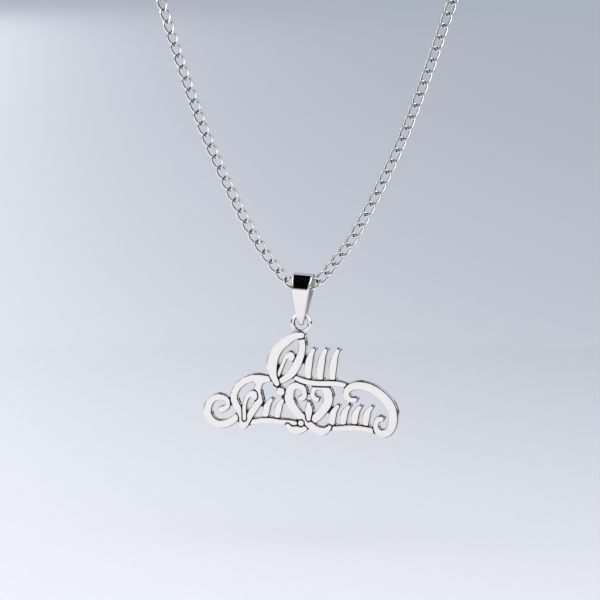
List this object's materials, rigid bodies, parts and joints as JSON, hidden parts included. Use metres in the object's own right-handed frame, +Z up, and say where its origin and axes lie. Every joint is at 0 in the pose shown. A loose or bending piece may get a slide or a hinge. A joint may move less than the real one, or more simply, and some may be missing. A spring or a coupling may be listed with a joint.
{
  "type": "pendant necklace",
  "caption": "Fine curb-chain necklace with a tapered folded bail and a pierced scrollwork pendant in polished silver-coloured metal, which hangs and swings from the bail.",
  "frame": {"origin": "middle of the clasp, where the loop lies on the nape of the neck", "axes": "+Z up, the pendant's face looks along -Y, +X to the right as seen from the front"},
  "size_m": [0.1002, 0.0967, 0.1603],
  "materials": {
    "polished_metal": "mirror-polished white plating",
    "chain_metal": "polished white plating on drawn wire"
  },
  "bodies": {
    "chain": {"chain_right": "chain_metal", "chain_left": "chain_metal", "clasp": "polished_metal"},
    "bail": {"bail": "polished_metal"},
    "pendant": {"pendant": "polished_metal"}
  },
  "joints": [
    {"name": "bail_swing", "type": "hinge", "parent": "chain", "child": "bail", "pos_m": [0, -0.092, -0.1238], "axis": [1, 0, 0], "range_deg": [-75, 75]},
    {"name": "pendant_swing", "type": "hinge", "parent": "bail", "child": "pendant", "pos_m": [-0.00025, -0.092, -0.1307], "axis": [1, 0, 0], "range_deg": [-60, 60]}
  ]
}
